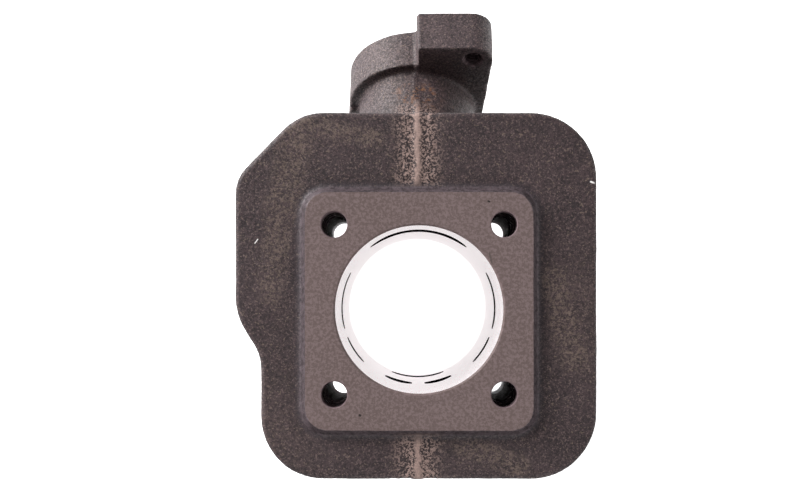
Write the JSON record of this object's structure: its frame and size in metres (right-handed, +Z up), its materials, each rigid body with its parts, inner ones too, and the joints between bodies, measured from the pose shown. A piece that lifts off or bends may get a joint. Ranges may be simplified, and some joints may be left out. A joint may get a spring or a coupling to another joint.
{
  "type": "two-stroke engine cylinder",
  "caption": "Air-cooled two-stroke engine cylinder with square cooling fins, a ported bore, a sloped exhaust duct with an eared flange, and dowels at the base.",
  "frame": {"origin": "on the bore axis, in the plane of the base face that sits on the crankcase", "axes": "+Z up the bore towards the cylinder head, +Y towards the exhaust outlet, +X to the right of the exhaust seen from the head"},
  "size_m": [0.1019, 0.1369, 0.094],
  "materials": {
    "cast_body": "sand-cast, with a milled head face",
    "honed_liner": "honed",
    "dowel_steel": "ground"
  },
  "bodies": {
    "root": {"finned_barrel": "cast_body", "bore_liner": "honed_liner", "base_dowel_left": "dowel_steel", "base_dowel_right": "dowel_steel"}
  },
  "joints": []
}
